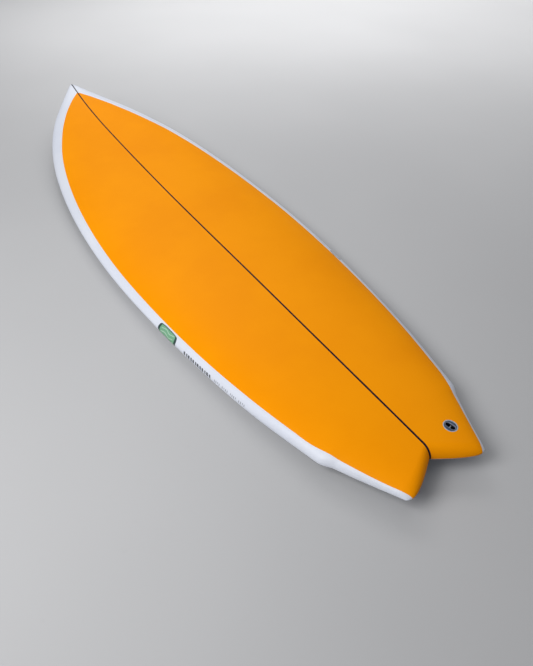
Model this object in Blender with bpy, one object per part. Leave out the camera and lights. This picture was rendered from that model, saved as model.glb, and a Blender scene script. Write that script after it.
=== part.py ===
"""A swallow-tail shortboard: foam blank in two halves, stringer, glass skins, leash plug and fin plugs.

Metres. +Y to the nose, +X to the right-hand rail, +Z up, with the lowest point of the bottom at z = 0.
Places along the board are written as s, the distance from the tail tips (s = 0) to the nose (s = LENGTH).
"""

import math

import bmesh
import bpy
import numpy as np
from mathutils import Matrix, Vector

# Driving dimensions.
LENGTH = 1.727
GLASS = 0.0010
GAP = 0.0003
STRINGER_HALF = 0.0022
NOTCH_DEPTH = 0.0445
TAIL_ROLL = 0.018
NOSE_ROLL = 0.022
PAINT_END = 1.669

LEASH_PLACE = (0.0640, 0.062)
LEASH_TURN = math.radians(15)
LEASH_RING_R = 0.0128
LEASH_CUP_R = 0.0108
LEASH_DEPTH = 0.0150
LEASH_POCKET = (0.0180, 0.0090, 0.0120)
LEASH_PIN_R = 0.0015
LEASH_PIN_LENGTH = 0.0140
LEASH_PIN_DEPTH = 0.0042

PLUG_R = 0.0135
PLUG_DEPTH = 0.0155
PLUG_SPACING = 0.055
SLOT = (0.0190, 0.0064, 0.0127)
SCREW_R = 0.0024
SCREW_LENGTH = 0.0064
SCREW_SINK = 0.0006
SCREW_OFFSET = 0.0085
SCREW_LEAN = math.radians(25)
SCREW_SOCKET = 0.0025
TOE_IN = math.radians(2.5)


def curve(*knots):
    """A smooth curve through (place, value) knots."""
    x, y = np.array(knots, float).T
    step = np.diff(x)
    chord = np.diff(y) / step
    slope = np.empty_like(x)
    slope[1:-1] = (chord[:-1] * step[1:] + chord[1:] * step[:-1]) / (x[2:] - x[:-2])
    slope[0] = 1.5 * chord[0] - 0.5 * slope[1]
    slope[-1] = 1.5 * chord[-1] - 0.5 * slope[-2]

    def value(at):
        at = min(max(at, x[0]), x[-1])
        i = min(int(np.searchsorted(x, at, side="right")) - 1, len(x) - 2)
        t = (at - x[i]) / step[i]
        rise = (3 - 2 * t) * t * t
        bend = (t - 1) ** 2 * t * slope[i] + (t - 1) * t * t * slope[i + 1]
        return float((1 - rise) * y[i] + rise * y[i + 1] + bend * step[i])

    return value


def round_curve(*knots):
    """A curve of half-widths that closes with a rounded end, as the square root of a smooth one."""
    squared = curve(*[(place, half * half) for place, half in knots])
    return lambda at: math.sqrt(max(squared(at), 0.0))


# Half-width of the board ahead of the wings and behind them, and half-width of the coloured deck.
front_plan = round_curve(
    (0.00, 0.118), (0.165, 0.1615), (0.30, 0.1928), (0.45, 0.2170), (0.63, 0.2375), (0.80, 0.2475),
    (0.95, 0.2468), (1.13, 0.2345), (1.33, 0.2020), (1.47, 0.1600), (1.57, 0.1145), (1.63, 0.0765),
    (1.68, 0.0405), (1.712, 0.0155), (LENGTH, 0.0),
)
tail_plan = curve((0.00, 0.0850), (0.05, 0.1085), (0.10, 0.1330), (0.165, 0.1620), (0.20, 0.1740))
paint_plan = round_curve(
    (0.00, 0.0770), (0.06, 0.1055), (0.13, 0.1350), (0.165, 0.1485), (0.20, 0.1570), (0.30, 0.1790),
    (0.44, 0.2020), (0.64, 0.2225), (0.80, 0.2300), (0.92, 0.2285), (1.13, 0.2115), (1.33, 0.1735),
    (1.47, 0.1260), (1.57, 0.0775), (1.63, 0.0375), (1.657, 0.0140), (PAINT_END, 0.0),
)
rocker = curve(
    (0.00, 0.0420), (0.05, 0.0342), (0.15, 0.0262), (0.35, 0.0125), (0.55, 0.0035), (0.75, 0.0),
    (0.80, 0.0), (1.00, 0.0030), (1.20, 0.0130), (1.35, 0.0270), (1.50, 0.0480), (1.62, 0.0740),
    (LENGTH, 0.1100),
)
thickness = curve(
    (0.00, 0.0175), (0.06, 0.0265), (0.15, 0.0340), (0.35, 0.0485), (0.60, 0.0600), (0.82, 0.0620),
    (1.00, 0.0605), (1.20, 0.0560), (1.35, 0.0485), (1.50, 0.0375), (1.62, 0.0270), (LENGTH, 0.0160),
)
# Where the rail is widest, as a fraction of the thickness, and how full the deck and the bottom are.
apex = curve(
    (0.00, 0.10), (0.15, 0.14), (0.35, 0.28), (0.60, 0.38), (1.00, 0.40), (1.50, 0.45), (LENGTH, 0.50),
)
dome = curve((0.00, 3.2), (0.25, 3.0), (0.60, 2.4), (1.10, 2.4), (1.50, 2.8), (LENGTH, 2.4))
rail_round = curve((0.00, 0.45), (0.25, 0.48), (0.60, 0.58), (1.10, 0.58), (1.50, 0.50), (LENGTH, 0.50))
tuck = curve((0.00, 24.0), (0.30, 16.0), (0.60, 9.0), (1.10, 8.0), (1.50, 4.5), (LENGTH, 2.5))
WING = (0.112, 0.140)


def half_width(s):
    """The outline: the wide curve steps in to the tail curve at the wings."""
    t = min(max((s - WING[0]) / (WING[1] - WING[0]), 0.0), 1.0)
    t = t * t * (3 - 2 * t)
    return tail_plan(s) * (1 - t) + front_plan(s) * t


def lobe_edge(xi):
    return NOTCH_DEPTH * (1 - xi) * (1 - 0.65 * xi) + 0.007 * xi**14


LOBE_TIP = min(lobe_edge(step / 500) for step in range(501))


def notch(xi):
    """The tail's rear edge across one lobe, from the crotch (xi = 0) to the rounded corner (xi = 1)."""
    return lobe_edge(xi) - LOBE_TIP


def rolled(distance, reach):
    """0 on an edge, rising as a quarter round to 1 at the reach."""
    t = 1 - min(max(distance / reach, 0.0), 1.0)
    return math.sqrt(1 - t * t)


LOBE_COS = math.cos(math.atan2(NOTCH_DEPTH, 0.0865))


def edges(x, s):
    """How far across the half-width x lies, and how far in from the tail's rear edge and the nose tip."""
    xi = min(abs(x) / max(half_width(s), 1e-6), 1.0)
    return xi, (s - notch(xi)) * LOBE_COS, LENGTH - s


def deck_z(x, s, xi=None):
    found, tail, nose = edges(x, s)
    xi = found if xi is None else xi
    base = rocker(s) + apex(s) * thickness(s)
    rise = (1 - xi ** dome(s)) ** rail_round(s) * rolled(tail, TAIL_ROLL) * rolled(nose, NOSE_ROLL)
    return base + (rocker(s) + thickness(s) - base) * rise


def bottom_z(x, s, xi=None):
    found, tail, nose = edges(x, s)
    xi = found if xi is None else xi
    drop = math.sqrt(1 - xi ** tuck(s)) * rolled(tail, 0.003) * rolled(nose, NOSE_ROLL)
    return rocker(s) + apex(s) * thickness(s) * (1 - drop)


# Rows: the first ones follow the tail's rear edge at these distances, the rest run straight across.
TAIL_ROWS = (0.0, 0.00001, 0.0002, 0.0010, 0.0030, 0.0065, 0.0115, 0.0180)
STRAIGHT_ROWS = (
    0.104, 0.112, 0.119, 0.126, 0.133, 0.140, 0.165, 0.21, 0.25, 0.31, 0.38, 0.46, 0.55, 0.65, 0.75, 0.80,
    0.90, 1.00, 1.10, 1.19, 1.27, 1.34, 1.41, 1.47, 1.53, 1.58, 1.62, 1.645, 1.661, PAINT_END, 1.690,
    1.706, 1.717, 1.7235, 1.7262, LENGTH,
)
BLENDS = (0.35, 0.68)
ROWS = len(TAIL_ROWS) + len(BLENDS) + len(STRAIGHT_ROWS)


def station(row, xi):
    """The place s of a row where it crosses xi."""
    if row >= len(TAIL_ROWS) + len(BLENDS):
        return STRAIGHT_ROWS[row - len(TAIL_ROWS) - len(BLENDS)]
    rear = notch(xi) + TAIL_ROWS[min(row, len(TAIL_ROWS) - 1)] / LOBE_COS
    if row < len(TAIL_ROWS):
        return rear
    blend = BLENDS[row - len(TAIL_ROWS)]
    return rear * (1 - blend) + STRAIGHT_ROWS[0] * blend


def point(row, xi, height, side=1):
    """A point of the deck or bottom on a row, at the fraction xi of the half-width."""
    s = station(row, xi)
    x = side * xi * half_width(s)
    return Vector((x, s - LENGTH / 2, height(x, s, xi)))


def spread(first, last, count):
    """Fractions from first to last, closing up towards last, where the rail turns over."""
    return [first + (last - first) * math.sin(math.pi / 2 * i / count) for i in range(count + 1)]


def paint_xi(row, shift):
    """The paint line's fraction of the half-width on a row."""
    s = station(row, 0.88)
    if s >= PAINT_END:
        return 0.0
    return max(paint_plan(s) + shift, 0.0) / half_width(s)


def grid_mesh(name, rows, ring=False):
    """An object from rows of points, each joined to the next, and round when ring is set."""
    bm = bmesh.new()
    verts = [[bm.verts.new(place) for place in row] for row in rows]
    wide = len(rows[0])
    for a, b in zip(verts, verts[1:]):
        for i in range(wide if ring else wide - 1):
            j = (i + 1) % wide
            bm.faces.new((a[i], a[j], b[j], b[i]))
    bmesh.ops.remove_doubles(bm, verts=bm.verts, dist=2e-6)
    bmesh.ops.dissolve_degenerate(bm, edges=bm.edges, dist=1e-7)
    bmesh.ops.recalc_face_normals(bm, faces=bm.faces)
    return finish_mesh(name, bm)


def finish_mesh(name, bm):
    mesh = bpy.data.meshes.new(name)
    bm.to_mesh(mesh)
    bm.free()
    obj = bpy.data.objects.new(name, mesh)
    bpy.context.scene.collection.objects.link(obj)
    return obj


def paint(obj, colour, roughness, metallic=0.0):
    material = bpy.data.materials.new(obj.name)
    material.use_nodes = True
    shader = material.node_tree.nodes["Principled BSDF"]
    shader.inputs["Base Color"].default_value = (*colour, 1)
    shader.inputs["Roughness"].default_value = roughness
    shader.inputs["Metallic"].default_value = metallic
    material.diffuse_color = (*colour, 1)
    obj.data.materials.clear()
    obj.data.materials.append(material)
    return obj


def shade(obj):
    """Round faces shade smooth and edges over 35 degrees stay crisp."""
    obj.data.shade_smooth()
    obj.data.set_sharp_from_angle(angle=math.radians(35))


def thicken(obj):
    """Turns a skin into glass of even thickness, grown inwards."""
    solid = obj.modifiers.new("glass", "SOLIDIFY")
    solid.thickness = GLASS
    solid.offset = -1
    solid.use_even_offset = True
    solid.use_quality_normals = True


def cut(obj, cutter):
    boolean = obj.modifiers.new(cutter.name, "BOOLEAN")
    boolean.operation = "DIFFERENCE"
    boolean.solver = "EXACT"
    boolean.object = cutter


def apply_modifiers(obj):
    graph = bpy.context.evaluated_depsgraph_get()
    mesh = bpy.data.meshes.new_from_object(obj.evaluated_get(graph))
    obj.modifiers.clear()
    obj.data = mesh


def outward(obj):
    """Faces the open skin's normals away from the middle of the board."""
    middle = Vector((0, 0, 0.035))
    face = max(obj.data.polygons, key=lambda f: abs(f.normal.z) * f.area)
    if (face.center - middle).dot(face.normal) < 0:
        obj.data.flip_normals()


# Skins.
DECK_COLUMNS = (0.0, 0.16, 0.32, 0.48, 0.62, 0.74, 0.84, 0.93, 1.0)
BOTTOM_COLUMNS = (0.0, 0.32, 0.60, 0.78)


def deck_skin():
    """The coloured deck, out to the paint line and down over the notch walls."""
    rows = []
    for row in range(1, ROWS):
        if station(row, 1) > PAINT_END:
            break
        edge = paint_xi(row, -GAP / 2)
        half = [point(row, edge * part, deck_z) for part in DECK_COLUMNS]
        if edge == 0:
            half = [place - Vector((0, GAP, 0)) for place in half]
        rows.append([mirrored(place) for place in half[:0:-1]] + half)
    return grid_mesh("deck_glass", rows)


def bottom_skin():
    """The bottom and the rails, up to the paint line."""
    rows = []
    low = BOTTOM_COLUMNS + tuple(spread(paint_xi(0, GAP / 2), 1, 6))
    for row in range(ROWS):
        high = spread(paint_xi(row, GAP / 2), 1, 6)
        half = [point(row, xi, bottom_z) for xi in low]
        half += [point(row, xi, deck_z) for xi in high[-2::-1]]
        rows.append([mirrored(place) for place in half[:0:-1]] + half)
    return grid_mesh("bottom_glass", rows)


def mirrored(place):
    return Vector((-place.x, place.y, place.z))


# Core.
def core_mesh():
    """The whole core as one closed mesh, inset from the outer surface by the glass and a gap."""
    columns = BOTTOM_COLUMNS + tuple(spread(paint_xi(0, GAP / 2), 1, 6)[::2])
    bm = bmesh.new()
    rings = []
    for row in range(ROWS):
        half = [point(row, xi, deck_z) for xi in columns]
        half += [point(row, xi, bottom_z) for xi in columns[-2::-1]]
        ring = half + [mirrored(place) for place in half[-2:0:-1]]
        rings.append([bm.verts.new(place) for place in ring])
    wide = len(rings[0])
    for a, b in zip(rings, rings[1:]):
        for i in range(wide):
            j = (i + 1) % wide
            bm.faces.new((a[i], a[j], b[j], b[i]))
    bmesh.ops.remove_doubles(bm, verts=bm.verts, dist=2e-6)
    bmesh.ops.dissolve_degenerate(bm, edges=bm.edges, dist=1e-7)
    bmesh.ops.recalc_face_normals(bm, faces=bm.faces)
    bm.normal_update()
    inset = [v.co - v.normal * (GLASS + 2 * GAP) * min(v.calc_shell_factor(), 2.0) for v in bm.verts]
    for v, place in zip(bm.verts, inset):
        v.co = place
    return bm


def core_part(name, low, high):
    """The slice of the core between two planes across X."""
    bm = core_mesh()
    for at, keep in ((low, 1), (high, -1)):
        if at is None:
            continue
        made = bmesh.ops.bisect_plane(
            bm, geom=bm.verts[:] + bm.edges[:] + bm.faces[:], dist=1e-7,
            plane_co=(at, 0, 0), plane_no=(-keep, 0, 0), clear_outer=True,
        )
        rim = [e for e in made["geom_cut"] if isinstance(e, bmesh.types.BMEdge)]
        bmesh.ops.holes_fill(bm, edges=rim, sides=0)
    bmesh.ops.remove_doubles(bm, verts=bm.verts, dist=2e-6)
    bmesh.ops.recalc_face_normals(bm, faces=bm.faces)
    return finish_mesh(name, bm)


# Round and slotted fittings, modelled in their own frame: origin on the board's surface, +Z out of it.
def surface_frame(x, s, height, up, turn):
    """A frame on the surface: +Z out of the board and +Y along it, turned about +Z."""
    step = 0.004
    along = Vector((0, 2 * step, height(x, s + step) - height(x, s - step)))
    across = Vector((2 * step, 0, height(x + step, s) - height(x - step, s)))
    out = across.cross(along).normalized() * up
    ahead = Matrix.Rotation(turn, 3, out) @ along.normalized()
    side = ahead.cross(out).normalized()
    frame = Matrix((side, out.cross(side), out)).transposed().to_4x4()
    frame.translation = Vector((x, s - LENGTH / 2, height(x, s)))
    return frame


def lathe(name, profile, sides=32):
    """A solid turned about Z from (radius, z) corners, top to bottom."""
    bm = bmesh.new()
    rings = []
    for radius, z in profile:
        if radius == 0:
            rings.append([bm.verts.new((0, 0, z))])
            continue
        turn = [2 * math.pi * i / sides for i in range(sides)]
        rings.append([bm.verts.new((radius * math.cos(a), radius * math.sin(a), z)) for a in turn])
    closed = profile[0][0] > 0
    for a, b in zip(rings, rings[1:] + rings[:1] if closed else rings[1:]):
        for i in range(sides):
            j = (i + 1) % sides
            ring = [a[i % len(a)], a[j % len(a)], b[j % len(b)], b[i % len(b)]]
            bm.faces.new(list(dict.fromkeys(ring)))
    bmesh.ops.recalc_face_normals(bm, faces=bm.faces)
    return finish_mesh(name, bm)


def disc(name, radius, top, bottom, sides=32):
    return lathe(name, [(0, top), (radius, top), (radius, bottom), (0, bottom)], sides)


def stadium(name, length, width, top, bottom, ends=8):
    """A slot-shaped prism, long along Y, with round ends."""
    bm = bmesh.new()
    r, reach = width / 2, (length - width) / 2
    outline = []
    for way in (1, -1):
        for i in range(ends + 1):
            a = math.pi * i / ends
            outline.append((way * r * math.cos(a), way * (reach + r * math.sin(a))))
    rings = [[bm.verts.new((x, y, z)) for x, y in outline] for z in (top, bottom)]
    bm.faces.new(rings[0])
    bm.faces.new(rings[1])
    for i in range(len(outline)):
        j = (i + 1) % len(outline)
        bm.faces.new((rings[0][i], rings[0][j], rings[1][j], rings[1][i]))
    bmesh.ops.recalc_face_normals(bm, faces=bm.faces)
    return finish_mesh(name, bm)


def helper(obj):
    obj.hide_render = True
    obj.display_type = "WIRE"
    return obj


def place(obj, frame):
    """Puts a fitting on the board: turned in its mesh, with its origin on the surface point."""
    turn = frame.to_3x3().to_4x4()
    obj.data.transform(turn)
    obj.location = frame.translation
    bpy.context.view_layer.update()
    return obj


def drop_helpers():
    for obj in [o for o in bpy.data.objects if o.hide_render]:
        bpy.data.objects.remove(obj)


def leash_plug(blank, deck):
    """A cup with a pocket and a cross pin, set in a ring of resin on the right-hand lobe."""
    frame = surface_frame(*LEASH_PLACE, deck_z, 1, LEASH_TURN)
    length, width, depth = LEASH_POCKET
    hole = helper(place(disc("leash_hole", LEASH_RING_R + GAP, 0.006, -LEASH_DEPTH - GAP), frame))
    cut(deck, hole)
    cut(blank, hole)
    bore_r = LEASH_CUP_R + GAP
    ring = [(LEASH_RING_R, 0), (LEASH_RING_R, -LEASH_DEPTH), (bore_r, -LEASH_DEPTH), (bore_r, 0)]
    ring = paint(place(lathe("leash_ring", ring), frame), (0.80, 0.83, 0.88), 0.35)
    cup = disc("leash_cup", LEASH_CUP_R, -0.0002, -LEASH_DEPTH)
    cut(cup, helper(stadium("leash_pocket", length, width, 0.002, -depth)))
    across = Matrix.Translation((0, 0, -LEASH_PIN_DEPTH)) @ Matrix.Rotation(math.pi / 2, 4, "Y")
    half_bore = LEASH_PIN_LENGTH / 2 + GAP
    bore = helper(disc("leash_bore", LEASH_PIN_R + GAP, half_bore, -half_bore, 16))
    bore.data.transform(across)
    cut(cup, bore)
    apply_modifiers(cup)
    paint(place(cup, frame), (0.16, 0.19, 0.24), 0.45)
    pin = disc("leash_pin", LEASH_PIN_R, LEASH_PIN_LENGTH / 2, -LEASH_PIN_LENGTH / 2, 16)
    pin.data.transform(across)
    paint(place(pin, frame), (0.62, 0.62, 0.60), 0.25, 1.0)
    return [ring, cup, pin]


def fin_plug(label, x, s, turn, screw_side, cored):
    """A fin plug with its slot and set screw, sunk flush in the bottom."""
    frame = surface_frame(x, s, bottom_z, -1, turn)
    hole = helper(place(disc("hole_" + label, PLUG_R + GAP, 0.006, -PLUG_DEPTH - GAP), frame))
    for obj in cored:
        cut(obj, hole)
    plug = disc("fin_plug_" + label, PLUG_R, 0, -PLUG_DEPTH)
    cut(plug, helper(stadium("slot_" + label, SLOT[0], SLOT[1], 0.002, -SLOT[2], 5)))
    tilt = Matrix.Rotation(screw_side * SCREW_LEAN, 4, "Y")
    lean = Matrix.Translation((screw_side * SCREW_OFFSET, 0, 0)) @ tilt
    bore = helper(disc("bore_" + label, SCREW_R + 0.0001, 0.004, -0.0125, 24))
    bore.data.transform(lean)
    cut(plug, bore)
    apply_modifiers(plug)
    paint(place(plug, frame), (0.78, 0.79, 0.80), 0.4)
    screw = disc("set_screw_" + label, SCREW_R, -SCREW_SINK, -SCREW_SINK - SCREW_LENGTH, 24)
    cut(screw, helper(disc("socket_" + label, SCREW_SOCKET / math.sqrt(3), 0.001, -SCREW_SINK - 0.0022, 6)))
    apply_modifiers(screw)
    screw.data.transform(frame.to_3x3().to_4x4() @ lean.to_3x3().to_4x4())
    screw.location = frame @ Vector((screw_side * SCREW_OFFSET, 0, 0))
    paint(screw, (0.55, 0.56, 0.58), 0.3, 1.0)
    return [plug, screw]


def main():
    for obj in list(bpy.data.objects):
        bpy.data.objects.remove(obj)
    bpy.context.scene.unit_settings.system = "METRIC"

    deck = deck_skin()
    bottom = bottom_skin()
    for skin in (deck, bottom):
        outward(skin)
        thicken(skin)
        apply_modifiers(skin)
    clear = STRINGER_HALF + GAP
    left = core_part("blank_left", None, -clear)
    right = core_part("blank_right", clear, None)
    stringer = core_part("stringer", -STRINGER_HALF, STRINGER_HALF)

    fittings = leash_plug(right, deck)
    rear, front = 0.108, 0.108 + PLUG_SPACING
    for label, s in (("center_rear", rear), ("center_front", front)):
        fittings += fin_plug(label, 0, s, 0, 1, (bottom, left, right, stringer))
    for name, way, blank in (("left", -1, left), ("right", 1, right)):
        for end, ahead in (("rear", 0), ("front", PLUG_SPACING)):
            x = way * (0.146 - math.sin(TOE_IN) * ahead)
            turn = way * TOE_IN
            s = 0.285 + math.cos(TOE_IN) * ahead
            fittings += fin_plug(name + "_" + end, x, s, -turn, way, (bottom, blank))

    for obj in (deck, bottom, left, right, stringer):
        apply_modifiers(obj)
    drop_helpers()
    paint(deck, (0.90, 0.34, 0.0), 0.3)
    paint(bottom, (0.82, 0.84, 0.88), 0.3)
    paint(left, (0.88, 0.87, 0.82), 0.8)
    paint(right, (0.88, 0.87, 0.82), 0.8)
    paint(stringer, (0.012, 0.014, 0.022), 0.6)
    for obj in bpy.data.objects:
        shade(obj)


main()
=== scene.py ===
"""A swallow-tail surfboard: tinted deck, white rails and bottom, leash plug, fin plugs and rail prints.

Metres, in the part's frame: +Y to the nose, +X to the right-hand rail, +Z up. Places along the board are
written as s, the distance from the tail tips (s = 0) to the nose (s = LENGTH).
"""

import math

import bpy
import numpy as np
from mathutils import Matrix, Vector


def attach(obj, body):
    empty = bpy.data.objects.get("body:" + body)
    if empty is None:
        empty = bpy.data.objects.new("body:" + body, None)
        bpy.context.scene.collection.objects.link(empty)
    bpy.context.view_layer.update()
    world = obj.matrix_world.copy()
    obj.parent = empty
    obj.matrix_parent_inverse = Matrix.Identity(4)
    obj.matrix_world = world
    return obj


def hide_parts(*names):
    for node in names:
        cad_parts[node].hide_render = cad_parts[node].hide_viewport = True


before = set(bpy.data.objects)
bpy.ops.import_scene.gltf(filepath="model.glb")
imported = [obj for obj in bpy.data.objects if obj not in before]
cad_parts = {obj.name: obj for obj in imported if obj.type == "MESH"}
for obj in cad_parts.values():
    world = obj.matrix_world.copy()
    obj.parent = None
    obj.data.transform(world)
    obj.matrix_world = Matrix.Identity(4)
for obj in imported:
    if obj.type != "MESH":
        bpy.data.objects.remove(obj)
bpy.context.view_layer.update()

# The board.
LENGTH = 1.727
GLASS = 0.0010
NOTCH_DEPTH = 0.0445
TAIL_ROLL = 0.018
NOSE_ROLL = 0.022
PAINT_END = 1.669
WING = (0.112, 0.140)
STRINGER_HALF = 0.0022

# Leash plug.
LEASH_PLACE = (0.0640, 0.062)
LEASH_TURN = math.radians(15)
LEASH_RING_R = 0.0128
LEASH_CUP_R = 0.0108
LEASH_DEPTH = 0.0150
LEASH_POCKET = (0.0180, 0.0090, 0.0120)
LEASH_PIN_R = 0.0015
LEASH_PIN_LENGTH = 0.0140
LEASH_PIN_DEPTH = 0.0042

# Fin plugs: label, x, s, turn about the plug's axis, and the side its screw is on.
PLUG_R = 0.0135
PLUG_DEPTH = 0.0155
PLUG_SPACING = 0.055
SLOT = (0.0190, 0.0064, 0.0127)
SCREW_R = 0.0024
SCREW_LENGTH = 0.0064
SCREW_SINK = 0.0006
SCREW_OFFSET = 0.0085
SCREW_LEAN = math.radians(25)
SCREW_SOCKET = 0.0025
TOE_IN = math.radians(2.5)
AHEAD = math.cos(TOE_IN) * PLUG_SPACING
INWARD = math.sin(TOE_IN) * PLUG_SPACING
FIN_PLUGS = (
    ("center_rear", 0.0, 0.108, 0.0, 1),
    ("center_front", 0.0, 0.108 + PLUG_SPACING, 0.0, 1),
    ("left_rear", -0.146, 0.285, TOE_IN, -1),
    ("left_front", INWARD - 0.146, 0.285 + AHEAD, TOE_IN, -1),
    ("right_rear", 0.146, 0.285, -TOE_IN, 1),
    ("right_front", 0.146 - INWARD, 0.285 + AHEAD, -TOE_IN, 1),
)


# ---------------------------------------------------------------- the shaper's curves


def curve(*knots):
    """A smooth curve through (place, value) knots."""
    x, y = np.array(knots, float).T
    step = np.diff(x)
    chord = np.diff(y) / step
    slope = np.empty_like(x)
    slope[1:-1] = (chord[:-1] * step[1:] + chord[1:] * step[:-1]) / (x[2:] - x[:-2])
    slope[0] = 1.5 * chord[0] - 0.5 * slope[1]
    slope[-1] = 1.5 * chord[-1] - 0.5 * slope[-2]

    def value(at):
        at = min(max(at, x[0]), x[-1])
        i = min(int(np.searchsorted(x, at, side="right")) - 1, len(x) - 2)
        t = (at - x[i]) / step[i]
        rise = (3 - 2 * t) * t * t
        bend = (t - 1) ** 2 * t * slope[i] + (t - 1) * t * t * slope[i + 1]
        return float((1 - rise) * y[i] + rise * y[i + 1] + bend * step[i])

    return value


def round_curve(*knots):
    """A curve of half-widths that closes with a rounded end, as the square root of a smooth one."""
    squared = curve(*[(place, half * half) for place, half in knots])
    return lambda at: math.sqrt(max(squared(at), 0.0))


front_plan = round_curve(
    (0.00, 0.118), (0.165, 0.1615), (0.30, 0.1928), (0.45, 0.2170), (0.63, 0.2375), (0.80, 0.2475),
    (0.95, 0.2468), (1.13, 0.2345), (1.33, 0.2020), (1.47, 0.1600), (1.57, 0.1145), (1.63, 0.0765),
    (1.68, 0.0405), (1.712, 0.0155), (LENGTH, 0.0),
)
tail_plan = curve((0.00, 0.0850), (0.05, 0.1085), (0.10, 0.1330), (0.165, 0.1620), (0.20, 0.1740))
paint_plan = round_curve(
    (0.00, 0.0770), (0.06, 0.1055), (0.13, 0.1350), (0.165, 0.1485), (0.20, 0.1570), (0.30, 0.1790),
    (0.44, 0.2020), (0.64, 0.2225), (0.80, 0.2300), (0.92, 0.2285), (1.13, 0.2115), (1.33, 0.1735),
    (1.47, 0.1260), (1.57, 0.0775), (1.63, 0.0375), (1.657, 0.0140), (PAINT_END, 0.0),
)
rocker = curve(
    (0.00, 0.0420), (0.05, 0.0342), (0.15, 0.0262), (0.35, 0.0125), (0.55, 0.0035), (0.75, 0.0),
    (0.80, 0.0), (1.00, 0.0030), (1.20, 0.0130), (1.35, 0.0270), (1.50, 0.0480), (1.62, 0.0740),
    (LENGTH, 0.1100),
)
thickness = curve(
    (0.00, 0.0175), (0.06, 0.0265), (0.15, 0.0340), (0.35, 0.0485), (0.60, 0.0600), (0.82, 0.0620),
    (1.00, 0.0605), (1.20, 0.0560), (1.35, 0.0485), (1.50, 0.0375), (1.62, 0.0270), (LENGTH, 0.0160),
)
apex = curve((0.00, 0.10), (0.15, 0.14), (0.35, 0.28), (0.60, 0.38), (1.00, 0.40), (1.50, 0.45), (LENGTH, 0.50))
dome = curve((0.00, 3.2), (0.25, 3.0), (0.60, 2.4), (1.10, 2.4), (1.50, 2.8), (LENGTH, 2.4))
rail_round = curve((0.00, 0.45), (0.25, 0.48), (0.60, 0.58), (1.10, 0.58), (1.50, 0.50), (LENGTH, 0.50))
tuck = curve((0.00, 24.0), (0.30, 16.0), (0.60, 9.0), (1.10, 8.0), (1.50, 4.5), (LENGTH, 2.5))


def half_width(s):
    """The outline: the wide curve steps in to the tail curve at the wings."""
    t = min(max((s - WING[0]) / (WING[1] - WING[0]), 0.0), 1.0)
    t = t * t * (3 - 2 * t)
    return tail_plan(s) * (1 - t) + front_plan(s) * t


def lobe_edge(xi):
    return NOTCH_DEPTH * (1 - xi) * (1 - 0.65 * xi) + 0.007 * xi**14


LOBE_TIP = min(lobe_edge(step / 500) for step in range(501))
LOBE_COS = math.cos(math.atan2(NOTCH_DEPTH, 0.0865))


def notch(xi):
    """The tail's rear edge across one lobe, from the crotch (xi = 0) to the rounded corner (xi = 1)."""
    return lobe_edge(xi) - LOBE_TIP


def rolled(distance, reach):
    """0 on an edge, rising as a quarter round to 1 at the reach."""
    t = 1 - min(max(distance / reach, 0.0), 1.0)
    return math.sqrt(1 - t * t)


def edges(x, s):
    """How far across the half-width x lies, and how far in from the tail's rear edge and the nose tip."""
    xi = min(abs(x) / max(half_width(s), 1e-6), 1.0)
    return xi, (s - notch(xi)) * LOBE_COS, LENGTH - s


def deck_z(x, s, xi=None):
    found, tail, nose = edges(x, s)
    xi = found if xi is None else xi
    base = rocker(s) + apex(s) * thickness(s)
    rise = (1 - xi ** dome(s)) ** rail_round(s) * rolled(tail, TAIL_ROLL) * rolled(nose, NOSE_ROLL)
    return base + (rocker(s) + thickness(s) - base) * rise


def bottom_z(x, s, xi=None):
    found, tail, nose = edges(x, s)
    xi = found if xi is None else xi
    drop = math.sqrt(1 - xi ** tuck(s)) * rolled(tail, 0.003) * rolled(nose, NOSE_ROLL)
    return rocker(s) + apex(s) * thickness(s) * (1 - drop)


# Rows: the first ones follow the tail's rear edge at these distances, the rest run straight across.
TAIL_ROWS = (0.0, 0.00001, 0.0002, 0.0010, 0.0030, 0.0065, 0.0115, 0.0180)
BLENDS = (0.35, 0.68)
STRAIGHT_ROWS = (
    0.104, 0.112, 0.119, 0.126, 0.133, 0.140, 0.165, 0.21, 0.25, 0.31, 0.38, 0.46, 0.55, 0.65, 0.75, 0.80,
    0.90, 1.00, 1.10, 1.19, 1.27, 1.34, 1.41, 1.47, 1.53, 1.58, 1.62, 1.645, 1.661, PAINT_END, 1.690,
    1.706, 1.717, 1.7235, 1.7262, LENGTH,
)
CURVED_ROWS = len(TAIL_ROWS) + len(BLENDS)
LAST_ROW = CURVED_ROWS + len(STRAIGHT_ROWS) - 1
PAINT_ROW = CURVED_ROWS + STRAIGHT_ROWS.index(PAINT_END)


def whole_station(row, xi):
    if row >= CURVED_ROWS:
        return STRAIGHT_ROWS[row - CURVED_ROWS]
    rear = notch(xi) + TAIL_ROWS[min(row, len(TAIL_ROWS) - 1)] / LOBE_COS
    if row < len(TAIL_ROWS):
        return rear
    blend = BLENDS[row - len(TAIL_ROWS)]
    return rear * (1 - blend) + STRAIGHT_ROWS[0] * blend


def station(row, xi):
    """The place s of a row, or of a line between two rows, where it crosses xi."""
    first = min(int(row), LAST_ROW - 1)
    return whole_station(first, xi) * (1 - row + first) + whole_station(first + 1, xi) * (row - first)


def paint_xi(s):
    """The paint line's fraction of the half-width."""
    return paint_plan(s) / half_width(s) if s < PAINT_END else 0.0


def on_board(s, xi, height, side):
    x = side * xi * half_width(s)
    return Vector((x, s - LENGTH / 2, height(x, s, xi)))


# ---------------------------------------------------------------- modelling helpers


def select_only(*objects):
    bpy.ops.object.select_all(action="DESELECT")
    for obj in objects:
        obj.select_set(True)
    bpy.context.view_layer.objects.active = objects[0]


def added(name):
    obj = bpy.context.object
    obj.name = obj.data.name = name
    return obj


def finish_modifier(obj, kind, **settings):
    """Adds a modifier to the piece and applies it."""
    select_only(obj)
    modifier = obj.modifiers.new(kind.title(), kind)
    for key, value in settings.items():
        setattr(modifier, key, value)
    bpy.ops.object.modifier_apply(modifier=modifier.name)


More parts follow.
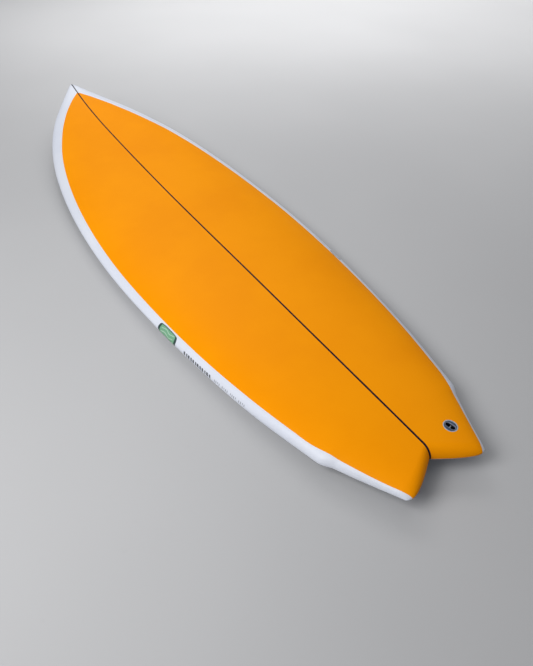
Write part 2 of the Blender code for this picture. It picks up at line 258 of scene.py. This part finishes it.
def edit_mesh(obj, *steps):
    """Runs edit-mode steps on all of the piece's faces."""
    select_only(obj)
    bpy.ops.object.mode_set(mode="EDIT")
    bpy.ops.mesh.select_all(action="SELECT")
    for step in steps:
        step()
    bpy.ops.object.mode_set(mode="OBJECT")


def carve(obj, cutter):
    """Cuts the cutter out of the piece and throws the cutter away."""
    finish_modifier(obj, "BOOLEAN", operation="DIFFERENCE", solver="EXACT", object=cutter)
    bpy.data.objects.remove(cutter)


def soften(obj, width, segments=3, angle=35):
    finish_modifier(
        obj, "BEVEL", width=width, segments=segments, limit_method="ANGLE", angle_limit=math.radians(angle),
    )


def smooth(obj, angle=30):
    select_only(obj)
    bpy.ops.object.shade_smooth_by_angle(angle=math.radians(angle))


def grid_on(name, across, along, place):
    """A flat grid laid over the board: place takes -1..1 across and 0..1 along."""
    bpy.ops.object.select_all(action="DESELECT")
    bpy.ops.mesh.primitive_grid_add(x_subdivisions=across, y_subdivisions=along, size=2)
    sheet = added(name)
    for vertex in sheet.data.vertices:
        vertex.co = place(vertex.co.x, (vertex.co.y + 1) / 2)
    edit_mesh(sheet, lambda: bpy.ops.mesh.remove_doubles(threshold=2e-6))
    return sheet


def face_out(sheet, middle):
    """Turns an open sheet so that its faces look away from the middle."""
    face = max(sheet.data.polygons, key=lambda f: f.area)
    if (face.center - middle).dot(face.normal) < 0:
        edit_mesh(sheet, bpy.ops.mesh.flip_normals)


def surface_frame(x, s, height, up, turn):
    """A frame on the surface: +Z out of the board and +Y along it, turned about +Z."""
    step = 0.004
    along = Vector((0, 2 * step, height(x, s + step) - height(x, s - step)))
    across = Vector((2 * step, 0, height(x + step, s) - height(x - step, s)))
    out = across.cross(along).normalized() * up
    ahead = Matrix.Rotation(turn, 3, out) @ along.normalized()
    side = ahead.cross(out).normalized()
    turned = Matrix((side, out.cross(side), out)).transposed().to_4x4()
    turned.translation = Vector((x, s - LENGTH / 2, height(x, s)))
    return turned


def peg(name, radius, top, bottom, sides=64):
    """An upright cylinder on the Z axis."""
    bpy.ops.object.select_all(action="DESELECT")
    bpy.ops.mesh.primitive_cylinder_add(
        vertices=sides, radius=radius, depth=top - bottom, location=(0, 0, (top + bottom) / 2)
    )
    obj = added(name)
    bpy.ops.object.transform_apply(location=True, rotation=False, scale=False)
    return obj


def long_hole(name, length, width, top, bottom):
    """A cutter for a slot with round ends, long along Y: one peg pulled out to both ends."""
    obj = peg(name, width / 2, top, bottom, 48)
    pull = (length - width) / 2
    for vertex in obj.data.vertices:
        vertex.co.y += math.copysign(pull, vertex.co.y) if abs(vertex.co.y) > 1e-6 else pull
    return obj


def turned_copy(obj, name, matrix):
    copy = obj.copy()
    copy.data = obj.data.copy()
    copy.name = copy.data.name = name
    bpy.context.scene.collection.objects.link(copy)
    copy.data.transform(matrix)
    return copy


def joined(name, parts):
    select_only(*parts)
    bpy.ops.object.join()
    return added(name)


# ---------------------------------------------------------------- materials


class Amount:
    """A number that varies over a surface, so that shader maths reads as plain sums."""

    def __init__(self, finish, socket):
        self.finish = finish
        self.socket = socket

    def _sum(self, operation, *values):
        return self.finish.node("Math", {"operation": operation}, dict(enumerate(values)))

    def __add__(self, other):
        return self._sum("ADD", self, other)

    def __sub__(self, other):
        return self._sum("SUBTRACT", self, other)

    def __rsub__(self, other):
        return self._sum("SUBTRACT", other, self)

    def __mul__(self, other):
        return self._sum("MULTIPLY", self, other)

    def __abs__(self):
        return self._sum("ABSOLUTE", self)

    __radd__ = __add__
    __rmul__ = __mul__

    def sin(self):
        return self._sum("SINE", self)

    def root(self):
        return self._sum("SQRT", self)

    def most(self, other):
        return self._sum("MAXIMUM", self, other)

    def ramp(self, low, high, out_low=0.0, out_high=1.0):
        """Eases from out_low to out_high as this goes from low to high."""
        return self.finish.node(
            "MapRange", {"interpolation_type": "SMOOTHSTEP"},
            {"Value": self, "From Min": low, "From Max": high, "To Min": out_low, "To Max": out_high},
        )


class Finish:
    """A material in the making. Its Principled settings are given by name when it is started."""

    def __init__(self, name, **settings):
        self.material = bpy.data.materials.new(name)
        self.material.use_nodes = True
        self.tree = self.material.node_tree
        self.shader = self.tree.nodes["Principled BSDF"]
        for key, value in settings.items():
            self.feed(self.shader.inputs[key.replace("_", " ")], value)
        self.where = self.node("TexCoord", out="Object")
        self.x, self.y, self.z = self.axes(self.where)

    def feed(self, socket, value):
        if isinstance(value, Amount):
            self.tree.links.new(value.socket, socket)
        elif isinstance(value, tuple):
            socket.default_value = (*value, 1.0)[: len(socket.default_value)]
        else:
            socket.default_value = value

    def node(self, kind, settings=None, inputs=None, out=0):
        """Adds a node: settings first, then the values or links of its inputs; gives its output."""
        made = self.tree.nodes.new("ShaderNode" + kind)
        for key, value in (settings or {}).items():
            setattr(made, key, value)
        for key, value in (inputs or {}).items():
            self.feed(made.inputs[key], value)
        return Amount(self, made.outputs[out])

    def axes(self, vector):
        made = self.tree.nodes.new("ShaderNodeSeparateXYZ")
        self.feed(made.inputs[0], vector)
        return [Amount(self, output) for output in made.outputs]

    def stretched(self, x, y, z):
        """The surface's coordinates scaled along each axis."""
        return self.node("Mapping", inputs={"Vector": self.where, "Scale": (x, y, z)})

    def noise(self, scale, detail=2.0, roughness=0.5, vector=None):
        return self.node(
            "TexNoise",
            inputs={"Vector": vector or self.where, "Scale": scale, "Detail": detail, "Roughness": roughness},
        )

    def cells(self, scale, vector=None):
        return self.node("TexVoronoi", inputs={"Vector": vector or self.where, "Scale": scale})

    def mix(self, amount, first, second):
        """From the first colour to the second by the amount."""
        made = self.tree.nodes.new("ShaderNodeMix")
        made.data_type = "RGBA"
        for index, value in ((0, amount), (6, first), (7, second)):
            self.feed(made.inputs[index], value)
        return Amount(self, made.outputs[2])

    def bump(self, height, distance, strength=1.0, under=None):
        inputs = {"Height": height, "Distance": distance, "Strength": strength}
        if under:
            inputs["Normal"] = under
        return self.node("Bump", inputs=inputs)

    def use(self, **sockets):
        """Feeds the Principled shader."""
        for key, value in sockets.items():
            self.feed(self.shader.inputs[key.replace("_", " ")], value)
        return self.material


STAIN, STAIN_GRAIN = (0.006, 0.008, 0.016), (0.018, 0.020, 0.034)
CLOTH_THREAD = 0.0016


def glass_detail(finish, grain):
    """What all the glassed surfaces share: the cloth's weave, the sanding marks and the stringer's line."""
    thread = 2 * math.pi / CLOTH_THREAD
    weave = (finish.x * thread).sin() * (finish.y * thread).sin()
    sanding = finish.noise(900, 3, 0.6, finish.stretched(1.0, 0.12, 1.0))
    waves = finish.noise(14, 2, 0.4)
    wander = finish.noise(60, 1, 0.5) * 0.0003
    line = (abs(finish.x) + wander).ramp(STRINGER_HALF - 0.0004, STRINGER_HALF + 0.0002, 1.0, 0.0)
    grain_lines = finish.noise(240, 2, 0.5, finish.stretched(1.0, 0.05, 1.0))
    wood = finish.mix(grain_lines.ramp(0.4, 0.7, 0.0, 0.5), STAIN, STAIN_GRAIN)
    normal = finish.bump(waves, 0.0006, 0.35)
    normal = finish.bump(weave * 0.5 + sanding * grain, 0.00004, 0.5, normal)
    return weave, sanding, line, wood, normal


def deck_finish():
    """Orange resin tint under a satin sanded gloss coat, with the dark stringer showing through."""
    finish = Finish("orange_tint", Specular_IOR_Level=0.03)
    weave, sanding, line, wood, normal = glass_detail(finish, 0.6)
    pool = finish.noise(5.0, 4, 0.55)
    tint = finish.mix(pool.ramp(0.32, 0.70), (0.86, 0.280, 0.0004), (0.90, 0.306, 0.0006))
    tint = finish.mix(weave.ramp(-1.0, 1.0, 0.0, 0.05), tint, (0.80, 0.22, 0.0))
    return finish.use(
        Base_Color=finish.mix(line, tint, wood),
        Roughness=sanding * 0.10 + pool * 0.06 + 0.33,
        Normal=normal,
    )


def rail_finish():
    """Bluish white glass over foam: the foam's fine cells and the cloth just show."""
    finish = Finish("white_glass", Specular_IOR_Level=0.25)
    weave, sanding, line, wood, normal = glass_detail(finish, 0.5)
    cloud = finish.noise(7.0, 3, 0.5)
    cells = finish.cells(1400)
    white = finish.mix(cloud.ramp(0.3, 0.7), (0.635, 0.665, 0.745), (0.685, 0.71, 0.775))
    white = finish.mix(cells.ramp(0.1, 0.6, 0.0, 0.06), white, (0.53, 0.56, 0.65))
    white = finish.mix(weave.ramp(-1.0, 1.0, 0.0, 0.03), white, (0.56, 0.59, 0.68))
    return finish.use(
        Base_Color=finish.mix(line, white, wood),
        Roughness=sanding * 0.10 + cloud * 0.05 + 0.30,
        Normal=normal,
    )


def foam_finish():
    finish = Finish("shaped_foam", Roughness=0.85, Specular_IOR_Level=0.3)
    cells = finish.cells(900)
    scratch = finish.noise(300, 3, 0.6, finish.stretched(1.0, 0.08, 1.0))
    colour = finish.mix(cells.ramp(0.0, 0.5), (0.70, 0.68, 0.61), (0.86, 0.85, 0.79))
    colour = finish.mix(scratch.ramp(0.45, 0.75, 0.0, 0.25), colour, (0.64, 0.62, 0.55))
    return finish.use(Base_Color=colour, Normal=finish.bump(cells + scratch * 0.4, 0.0004, 0.6))


def stringer_finish():
    finish = Finish("stained_wood", Roughness=0.6)
    rings = finish.noise(30, 4, 0.6, finish.stretched(6.0, 0.25, 6.0))
    pores = finish.noise(420, 2, 0.5, finish.stretched(1.0, 0.03, 1.0))
    colour = finish.mix(rings.ramp(0.35, 0.7), STAIN, (0.020, 0.020, 0.028))
    colour = finish.mix(pores.ramp(0.55, 0.75, 0.0, 0.6), colour, (0.003, 0.003, 0.006))
    return finish.use(Base_Color=colour, Roughness=pores * 0.25 + 0.45, Normal=finish.bump(pores, 0.0002, 0.6))


def plug_finish():
    """White moulded plastic: a fine pebble, slight mottling and scuffs."""
    finish = Finish("plug_plastic", IOR=1.46)
    mottle = finish.noise(180, 3, 0.5)
    pebble = finish.cells(3200)
    scuffs = finish.noise(700, 3, 0.6, finish.stretched(1.0, 0.15, 1.0))
    colour = finish.mix(mottle.ramp(0.3, 0.7), (0.60, 0.61, 0.62), (0.70, 0.71, 0.72))
    normal = finish.bump(pebble + scuffs * 0.5, 0.00003, 0.5)
    return finish.use(Base_Color=colour, Roughness=scuffs * 0.18 + 0.40, Normal=normal)


def cup_finish(at):
    """The leash cup: blue-grey moulding round a well painted darker with depth as painted shade, with a painted
    highlight along the well's lip. at is the plug's frame.
    """
    finish = Finish("cup_plastic", IOR=1.46, Specular_IOR_Level=0.35)
    place = at.translation
    side, ahead, out = [
        finish.x * axis.x + finish.y * axis.y + finish.z * axis.z - place.dot(axis)
        for axis in (at.col[0].xyz, at.col[1].xyz, at.col[2].xyz)
    ]
    past = (abs(ahead) - (LEASH_POCKET[0] - LEASH_POCKET[1]) / 2).most(0.0)
    lip = (side * side + past * past).root() - LEASH_POCKET[1] / 2
    mottle = finish.noise(180, 3, 0.5)
    pebble = finish.cells(3200)
    scuffs = finish.noise(700, 3, 0.6)
    colour = finish.mix(mottle.ramp(0.3, 0.7), (0.040, 0.060, 0.098), (0.062, 0.088, 0.135))
    # Painted highlight: a pale line along the pocket's lip, broken up by the scuff noise.
    lip_highlight = abs(lip - 0.0006).ramp(0.0002, 0.0009, 1.0, 0.0)
    colour = finish.mix(lip_highlight * scuffs.ramp(0.25, 0.6, 0.4, 1.0), colour, (0.24, 0.25, 0.32))
    # Painted shade: the well's walls go nearly black with depth below the rim.
    colour = finish.mix(out.ramp(-0.0026, -0.0012, 1.0, 0.0), colour, (0.0025, 0.0025, 0.003))
    normal = finish.bump(pebble + scuffs * 0.5, 0.00003, 0.5)
    return finish.use(Base_Color=colour, Roughness=scuffs * 0.18 + 0.40, Normal=normal)


def resin_finish():
    """Clear potting resin gone milky, with specks of trapped air."""
    finish = Finish("potting_resin", IOR=1.55, Coat_Weight=0.3, Coat_Roughness=0.2)
    milk = finish.noise(260, 3, 0.5)
    bubbles = finish.cells(1100)
    colour = finish.mix(milk.ramp(0.3, 0.7), (0.27, 0.335, 0.42), (0.37, 0.44, 0.52))
    colour = finish.mix(bubbles.ramp(0.02, 0.12, 0.5, 0.0), colour, (0.55, 0.60, 0.66))
    normal = finish.bump(bubbles, 0.00004, 0.4)
    return finish.use(Base_Color=colour, Roughness=milk * 0.15 + 0.25, Normal=normal)


def steel_finish():
    """Drawn stainless steel."""
    finish = Finish("stainless", Metallic=1.0)
    drawn = finish.noise(2600, 3, 0.6, finish.stretched(0.08, 1.0, 1.0))
    stain = finish.noise(300, 2, 0.5)
    colour = finish.mix(stain.ramp(0.35, 0.7), (0.52, 0.52, 0.51), (0.66, 0.66, 0.64))
    return finish.use(Base_Color=colour, Roughness=drawn * 0.18 + 0.20, Normal=finish.bump(drawn, 0.00002, 0.4))


def ink_finish(name, dark, light):
    """Ink printed on rice paper under the glass: slightly uneven, with the paper's fibres."""
    finish = Finish(name, IOR=1.5, Coat_Weight=0.25, Coat_Roughness=0.3)
    fibres = finish.noise(1300, 3, 0.6)
    colour = finish.mix(fibres.ramp(0.35, 0.7), dark, light)
    normal = finish.bump(fibres, 0.00003, 0.3)
    return finish.use(Base_Color=colour, Roughness=fibres * 0.08 + 0.38, Normal=normal)


def badge_finish(name, rim, body, pale):
    """A printed tab: a dark rim, a mid-tone field and three pale wavy lines, laid out on the tab's own map."""
    finish = Finish(name, IOR=1.5, Coat_Weight=0.25, Coat_Roughness=0.3)
    u, v, _ = finish.axes(finish.node("UVMap", {"uv_map": "UVMap"}))
    u, v = u * 2 - 1, v * 2 - 1
    fibres = finish.noise(1300, 3, 0.6)
    edge = abs(u).most(abs(v) + 0.05)
    waves = ((u * 1.1 + (v * 7.0).sin() * 0.14) * 9.4).sin()
    inside = abs(u).most(abs(v)).ramp(0.62, 0.70, 1.0, 0.0)
    colour = finish.mix(fibres.ramp(0.3, 0.7, 0.0, 0.5), body, pale)
    colour = finish.mix(waves.ramp(0.55, 0.8) * inside, colour, pale)
    colour = finish.mix(edge.ramp(0.83, 0.88), colour, rim)
    normal = finish.bump(fibres, 0.00003, 0.3)
    return finish.use(Base_Color=colour, Roughness=fibres * 0.08 + 0.36, Normal=normal)


def floor_finish():
    """Pale painted studio floor, faintly uneven."""
    finish = Finish("studio_floor", Roughness=1.0, Specular_IOR_Level=0.0)
    wide = finish.noise(0.8, 3, 0.5)
    fine = finish.noise(60, 3, 0.6)
    colour = finish.mix(wide.ramp(0.3, 0.7), (0.445, 0.445, 0.45), (0.475, 0.475, 0.48))
    colour = finish.mix(fine.ramp(0.62, 0.8, 0.0, 0.2), colour, (0.41, 0.41, 0.41))
    return finish.use(Base_Color=colour, Normal=finish.bump(fine, 0.0004, 0.2))


def wear(obj, material, slot, body="board"):
    """Gives a piece its only material and the body it moves with. The slot argument is not used."""
    obj.data.materials.clear()
    obj.data.materials.append(material)
    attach(obj, body)
    return obj


# ---------------------------------------------------------------- skins


def folded(u):
    """From -1..1 across a skin: which side it is, and how far out along that half."""
    return math.copysign(1.0, u), abs(u)


def lay_deck(u, v):
    side, out = folded(u)
    row = v * PAINT_ROW
    s = station(row, 0.88)
    xi = paint_xi(s) * math.sin(math.pi / 2 * out)
    return on_board(station(row, xi), xi, deck_z, side)


FLAT, TURN = 12, 18
ACROSS = 2 * (FLAT + 2 * TURN)
LOW_EDGE = paint_plan(0.0) / half_width(0.0)


def lay_rails(u, v):
    """Across one half: the flat bottom, the lower rail out to its widest, the upper rail in to the paint line."""
    side, out = folded(u)
    row = v * LAST_ROW
    step = out * ACROSS / 2
    if step <= FLAT:
        xi, height = LOW_EDGE * step / FLAT, bottom_z
    elif step <= FLAT + TURN:
        xi, height = LOW_EDGE + (1 - LOW_EDGE) * math.sin(math.pi / 2 * (step - FLAT) / TURN), bottom_z
    else:
        edge = paint_xi(station(row, 0.88))
        back = max(FLAT + 2 * TURN - step, 0.0) / TURN
        xi, height = edge + (1 - edge) * math.sin(math.pi / 2 * back), deck_z
    return on_board(station(row, min(xi, 1.0)), min(xi, 1.0), height, side)


def glassed(sheet):
    """Gives a skin the thickness of its glass, grown inwards."""
    face_out(sheet, Vector((0, 0, 0.035)))
    finish_modifier(
        sheet, "SOLIDIFY", thickness=GLASS, offset=-1.0, use_even_offset=True, use_quality_normals=True,
    )
    return sheet


deck = glassed(grid_on("tinted_deck", 96, 4 * PAINT_ROW, lay_deck))
rails = glassed(grid_on("rails_and_bottom", ACROSS, 4 * LAST_ROW, lay_rails))


# ---------------------------------------------------------------- leash plug

leash_at = surface_frame(*LEASH_PLACE, deck_z, 1, LEASH_TURN)
hole = peg("leash_hole", LEASH_RING_R + 0.00005, 0.006, -LEASH_DEPTH, 96)
carve(deck, turned_copy(hole, "leash_hole_placed", leash_at))

leash_ring = peg("resin_ring", LEASH_RING_R, 0.0, -LEASH_DEPTH, 96)
carve(leash_ring, peg("ring_bore", LEASH_CUP_R + 0.0002, 0.002, -LEASH_DEPTH - 0.002, 96))
soften(leash_ring, 0.0003, 3)

leash_cup = peg("moulded_cup", LEASH_CUP_R, -0.0002, -LEASH_DEPTH, 96)
carve(leash_cup, long_hole("pocket", LEASH_POCKET[0], LEASH_POCKET[1], 0.002, -LEASH_POCKET[2]))
soften(leash_cup, 0.0006, 4)
across = Matrix.Translation((0, 0, -LEASH_PIN_DEPTH)) @ Matrix.Rotation(math.pi / 2, 4, "Y")
bore_end = LEASH_PIN_LENGTH / 2 + 0.0002
pin_bore = peg("pin_bore", LEASH_PIN_R + 0.0001, bore_end, -bore_end, 32)
pin_bore.data.transform(across)
carve(leash_cup, pin_bore)

leash_pin = peg("cross_pin", LEASH_PIN_R, LEASH_PIN_LENGTH / 2, -LEASH_PIN_LENGTH / 2, 32)
soften(leash_pin, 0.0003, 3)
leash_pin.data.transform(across)
for piece in (leash_ring, leash_cup, leash_pin):
    piece.data.transform(leash_at)
bpy.data.objects.remove(hole)


# ---------------------------------------------------------------- fin plugs and their set screws

lean = Matrix.Translation((SCREW_OFFSET, 0, 0)) @ Matrix.Rotation(SCREW_LEAN, 4, "Y")
first_plug = peg("fin_plug", PLUG_R, 0.0, -PLUG_DEPTH, 96)
carve(first_plug, long_hole("fin_slot", SLOT[0], SLOT[1], 0.002, -SLOT[2]))
screw_bore = peg("screw_bore", SCREW_R + 0.0001, 0.004, -0.0125, 48)
screw_bore.data.transform(lean)
carve(first_plug, screw_bore)
soften(first_plug, 0.00035, 3, 50)

first_screw = peg("set_screw", SCREW_R, -SCREW_SINK, -SCREW_SINK - SCREW_LENGTH, 48)
carve(first_screw, peg("hex_socket", SCREW_SOCKET / math.sqrt(3), 0.001, -SCREW_SINK - 0.0022, 6))
soften(first_screw, 0.0002, 2, 50)

plug_hole = peg("plug_hole", PLUG_R + 0.00005, 0.006, -PLUG_DEPTH, 96)
plug_pieces, screw_pieces, plug_holes = {}, {}, []
for label, x, s, turn, screw_side in FIN_PLUGS:
    at = surface_frame(x, s, bottom_z, -1, turn)
    at_screw = at if screw_side > 0 else at @ Matrix.Rotation(math.pi, 4, "Z")
    plug_pieces[label] = turned_copy(first_plug, "moulded_plug_" + label, at_screw)
    screw_pieces[label] = turned_copy(first_screw, "hex_screw_" + label, at_screw @ lean)
    plug_holes.append(turned_copy(plug_hole, "hole_" + label, at))
for spare in (first_plug, first_screw, plug_hole):
    bpy.data.objects.remove(spare)
carve(rails, joined("plug_holes", plug_holes))


# ---------------------------------------------------------------- prints under the glass of the rails


PROUD = 0.00012
PAPER = 0.0002
BAR_WIDTHS = (0.0040, 0.0050, 0.0034, 0.0046)
TICK_LENGTHS = (0.0040, 0.0025, 0.0045)


def rail_section(s, side):
    """Points round the rail at s, from the paint line down to the flat of the bottom, with their distances."""
    edge = paint_xi(s)
    upper = [edge + (1 - edge) * math.sin(math.pi / 2 * i / 60) for i in range(61)]
    lower = [LOW_EDGE + (1 - LOW_EDGE) * math.sin(math.pi / 2 * i / 60) for i in range(59, -1, -1)]
    points = [on_board(s, xi, deck_z, side) for xi in upper] + [on_board(s, xi, bottom_z, side) for xi in lower]
    reach = [0.0]
    for a, b in zip(points, points[1:]):
        reach.append(reach[-1] + (b - a).length)
    return points, reach


def on_rail(s, down, side):
    """A point of the rail the given distance down from the paint line, lifted off it a little."""
    points, reach = rail_section(s, side)
    i = max(min(int(np.searchsorted(reach, down)), len(reach) - 1), 1)
    a, b = points[i - 1], points[i]
    t = (down - reach[i - 1]) / max(reach[i] - reach[i - 1], 1e-9)
    run = (b - a).normalized()
    return a.lerp(b, t) + Vector((-run.z * side, 0, run.x * side)) * PROUD


def rail_print(name, side, s_range, down_range, across, along, corner=0.0, slant=0.0):
    """A thin printed sheet laid on the rail. Its corners are rounded and its ends leaned over as asked."""
    (s0, s1), (d0, d1) = s_range, down_range

    def place(u, v):
        w = 2 * v - 1
        if corner:
            # Squeezes the square towards a rounded one.
            tall, long = [1 - corner * (1 - math.sqrt(1 - a * a * 0.999)) * 0.5 for a in (w, u)]
            u, w = u * tall, w * long
        down = d0 + (d1 - d0) * (u + 1) / 2
        s = s0 + (s1 - s0) * (w + 1) / 2 + slant * u
        return on_rail(s, down, side)

    sheet = grid_on(name, across, along, place)
    face_out(sheet, Vector((0, 0, 0.03)))
    finish_modifier(sheet, "SOLIDIFY", thickness=PAPER, offset=-1.0)
    return sheet


left_badge = rail_print("left_badge", -1, (0.517, 0.582), (0.0030, 0.0262), 40, 60, corner=0.35, slant=-0.003)
left_bars = joined(
    "left_bars",
    [
        rail_print(f"bar_{i}", -1, (s, s + BAR_WIDTHS[i % 4]), (0.0140, 0.0200), 8, 2, slant=-0.0016)
        for i, s in enumerate(0.400 + 0.0074 * i for i in range(12))
    ],
)
left_ticks = joined(
    "left_ticks",
    [
        rail_print(
            f"tick_{i}", -1, (s, s + 0.0015), (0.0150, 0.0150 + TICK_LENGTHS[i % 3]), 6, 1, slant=-0.0006
        )
        for i, s in enumerate(0.304 + 0.0046 * i for i in range(19) if i % 5 != 4)
    ],
)
right_badge = rail_print("right_badge", 1, (0.556, 0.598), (0.0006, 0.013), 24, 48, corner=0.9)
right_ticks = joined(
    "right_ticks",
    [
        rail_print(f"right_tick_{i}", 1, (s, s + 0.0010), (0.0050, 0.0085), 6, 1, slant=0.0006)
        for i, s in enumerate(0.625 + 0.0046 * i for i in range(9))
    ],
)


# ---------------------------------------------------------------- dressing: each piece's finish, CAD node and body

orange, white = deck_finish(), rail_finish()
resin, steel = resin_finish(), steel_finish()
cup_plastic = cup_finish(leash_at)
plug_plastic = plug_finish()
dark_print = ink_finish("dark_ink", (0.030, 0.034, 0.040), (0.075, 0.080, 0.090))
grey_print = ink_finish("grey_ink", (0.16, 0.17, 0.20), (0.26, 0.27, 0.30))
green_print = badge_finish("green_print", (0.018, 0.050, 0.042), (0.085, 0.300, 0.145), (0.36, 0.52, 0.40))
oval_print = badge_finish("oval_print", (0.060, 0.064, 0.075), (0.62, 0.65, 0.70), (0.30, 0.31, 0.35))

for piece, finish, slot in (
    (deck, orange, "deck_glass"), (rails, white, "bottom_glass"), (leash_ring, resin, "resin_ring"),
    (leash_cup, cup_plastic, "cup"), (leash_pin, steel, "pin"), (left_badge, green_print, "bottom_glass"),
    (left_bars, dark_print, "bottom_glass"), (left_ticks, grey_print, "bottom_glass"),
    (right_badge, oval_print, "bottom_glass"), (right_ticks, grey_print, "bottom_glass"),
):
    wear(piece, finish, slot)
    smooth(piece)
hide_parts("deck_glass")
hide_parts("bottom_glass")
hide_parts("leash_ring")
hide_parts("leash_cup")
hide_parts("leash_pin")
for label, *_ in FIN_PLUGS:
    smooth(wear(plug_pieces[label], plug_plastic, "plug"))
    smooth(wear(screw_pieces[label], steel, "screw", "set_screw_" + label))
    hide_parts("fin_plug_" + label)
    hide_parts("set_screw_" + label)

foam, wood = foam_finish(), stringer_finish()
for node, finish in (("blank_left", foam), ("blank_right", foam), ("stringer", wood)):
    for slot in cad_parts[node].material_slots:
        slot.material = finish


# ---------------------------------------------------------------- floor, light and camera

bpy.ops.object.select_all(action="DESELECT")
bpy.ops.mesh.primitive_plane_add(size=40, location=(0, 0, -0.0005))
floor = added("floor")
bpy.ops.object.transform_apply(location=True, rotation=False, scale=False)
floor.data.materials.append(floor_finish())

world = bpy.data.worlds.new("studio")
bpy.context.scene.world = world
world.use_nodes = True
sky = world.node_tree.nodes["Background"]
sky.inputs["Color"].default_value = (0.90, 0.93, 1.0, 1.0)
sky.inputs["Strength"].default_value = 0.22


def soft_box(name, place, aim, width, height, power, spread=180):
    bpy.ops.object.select_all(action="DESELECT")
    bpy.ops.object.light_add(type="AREA", location=place)
    light = added(name)
    light.data.shape = "RECTANGLE"
    light.data.size, light.data.size_y = width, height
    light.data.energy = power
    light.data.spread = math.radians(spread)
    light.rotation_euler = (Vector(aim) - Vector(place)).to_track_quat("-Z", "Y").to_euler()
    light.visible_camera = False


soft_box("key", (-1.3, -0.5, 1.3), (-0.1, -0.05, 0.0), 0.9, 0.9, 22.5)
soft_box("key_low_end", (-1.1, -1.0, 1.4), (-0.1, -0.15, 0.0), 0.9, 0.9, 3)
soft_box("overhead", (-0.2, -0.4, 2.4), (-0.1, -0.2, 0.0), 1.6, 1.6, 5.5)
soft_box("far_floor", (0.9, 2.3, 2.4), (1.1, 2.0, 0.0), 2.4, 1.6, 33, 110)
soft_box("far_right_floor", (2.6, 1.3, 2.6), (2.5, 1.2, 0.0), 2.4, 2.2, 33, 105)

bpy.ops.object.camera_add(location=(-0.5172, -1.1367, 0.8294))
camera = added("camera")
camera.rotation_euler = Vector((0.39498, 0.61318, -0.68411)).to_track_quat("-Z", "Y").to_euler()
camera.data.lens = 31.2
camera.data.clip_end = 50
bpy.context.scene.camera = camera
bpy.context.scene.view_settings.view_transform = "Standard"
